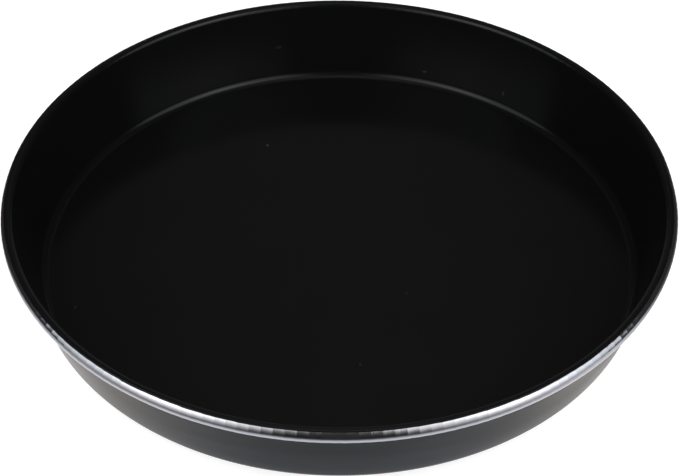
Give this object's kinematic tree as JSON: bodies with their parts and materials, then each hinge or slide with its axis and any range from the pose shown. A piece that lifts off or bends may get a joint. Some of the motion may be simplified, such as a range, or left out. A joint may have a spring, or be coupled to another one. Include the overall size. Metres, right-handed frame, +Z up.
{
  "type": "microwave crisp pan",
  "caption": "Round shallow aluminium pan with a rolled rim, black non-stick inside, dark outer coat and a microwave-absorbing rubber disc under its base, for browning food in a microwave oven.",
  "frame": {"origin": "on the pan's axis, level with the feet of the studs under the rubber disc, so at the middle of the bottom of the pan's box", "axes": "+Z up along the pan's axis, out of its open side; the pan is round, so +X and +Y only follow the picture: +X to the right and +Y away from the viewer"},
  "size_m": [0.29, 0.29, 0.0431],
  "materials": {
    "bare_aluminium": "bright rolled metal",
    "black_nonstick": "satin black non-stick coating",
    "dark_grey_coat": "dark grey satin coat with fine turning lines",
    "silicone_bond": "red-brown silicone adhesive",
    "ferrite_rubber": "dull moulded rubber filled with ferrite powder"
  },
  "bodies": {
    "root": {"pan_shell": "bare_aluminium", "nonstick_lining": "black_nonstick", "outer_coat": "dark_grey_coat", "bond_film": "silicone_bond", "absorber_disc": "ferrite_rubber"}
  },
  "joints": []
}
